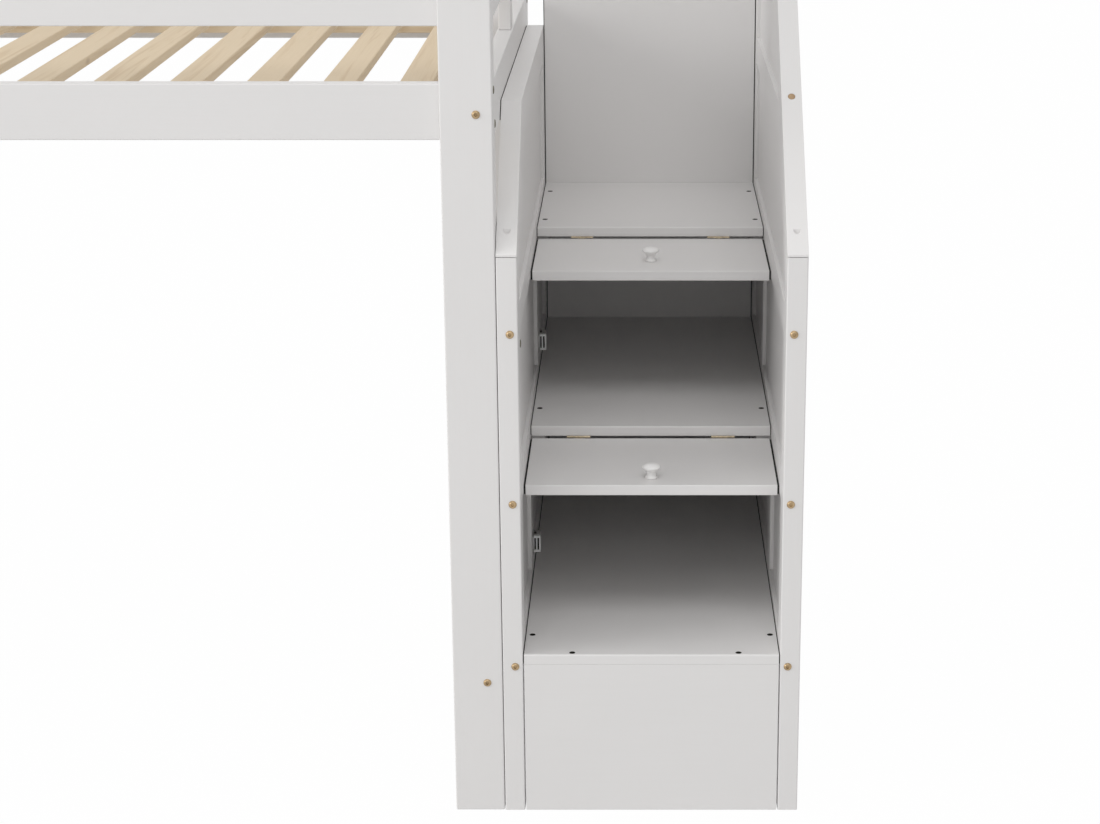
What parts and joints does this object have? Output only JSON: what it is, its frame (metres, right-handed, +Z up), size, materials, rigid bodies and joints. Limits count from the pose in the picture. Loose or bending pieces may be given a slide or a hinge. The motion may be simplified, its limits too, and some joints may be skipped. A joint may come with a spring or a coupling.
{
  "type": "loft bed",
  "caption": "Loft bed with a slatted deck, guard boards all round and a framed storage stair at its right end, whose cupboards have lift-up doors on butt hinges.",
  "frame": {"origin": "on the floor at the middle of the whole outline, bed and stair together", "axes": "+X along the bed towards the stair end, +Y from the front (the side the stair is climbed from) to the rear, +Z up"},
  "size_m": [2.4928, 1.08, 1.45],
  "materials": {
    "white_paint": "satin white paint on wood, with fine brush and roller texture",
    "pine": "bare planed pine with long grain",
    "hinge_brass": "dull brass-plated hinge",
    "catch_plastic": "white moulded plastic"
  },
  "bodies": {
    "bed_and_stair": {"front_left_post": "white_paint", "front_right_post": "white_paint", "rear_left_post": "white_paint", "rear_right_post": "white_paint", "front_side_rail": "white_paint", "rear_side_rail": "white_paint", "left_end_rail": "white_paint", "right_end_rail": "white_paint", "left_end_stretcher": "white_paint", "right_end_stretcher": "white_paint", "front_guard_lower": "white_paint", "front_guard_upper": "white_paint", "rear_guard_lower": "white_paint", "rear_guard_upper": "white_paint", "left_guard_lower": "white_paint", "left_guard_upper": "white_paint", "access_guard_frame": "white_paint", "left_side_wall": "white_paint", "right_side_wall": "white_paint", "left_stair_post": "white_paint", "right_stair_post": "white_paint", "tread_1": "white_paint", "tread_2": "white_paint", "tread_3": "white_paint", "bottom_riser": "white_paint", "back_panel": "white_paint", "front_slat_ledge": "pine", "rear_slat_ledge": "pine", "slat_01": "pine", "slat_02": "pine", "slat_03": "pine", "slat_04": "pine", "slat_05": "pine", "slat_06": "pine", "slat_07": "pine", "slat_08": "pine", "slat_09": "pine", "slat_10": "pine", "slat_11": "pine", "slat_12": "pine", "slat_13": "pine", "slat_14": "pine", "slat_15": "pine", "slat_16": "pine", "slat_17": "pine", "lower_left_hinge_fixed_leaf": "hinge_brass", "lower_right_hinge_fixed_leaf": "hinge_brass", "lower_catch": "catch_plastic", "upper_left_hinge_fixed_leaf": "hinge_brass", "upper_right_hinge_fixed_leaf": "hinge_brass", "upper_catch": "catch_plastic"},
    "lower_door_body": {"lower_door": "white_paint", "lower_knob": "white_paint", "lower_left_hinge_door_leaf": "hinge_brass", "lower_right_hinge_door_leaf": "hinge_brass"},
    "upper_door_body": {"upper_door": "white_paint", "upper_knob": "white_paint", "upper_left_hinge_door_leaf": "hinge_brass", "upper_right_hinge_door_leaf": "hinge_brass"}
  },
  "joints": [
    {"name": "lower_door_hinge", "type": "hinge", "parent": "bed_and_stair", "child": "lower_door_body", "pos_m": [1.0254, -0.2168, 0.4908], "axis": [1, 0, 0], "range_deg": [0, 90]},
    {"name": "upper_door_hinge", "type": "hinge", "parent": "bed_and_stair", "child": "upper_door_body", "pos_m": [1.0254, 0.0922, 0.7448], "axis": [1, 0, 0], "range_deg": [0, 90]}
  ]
}
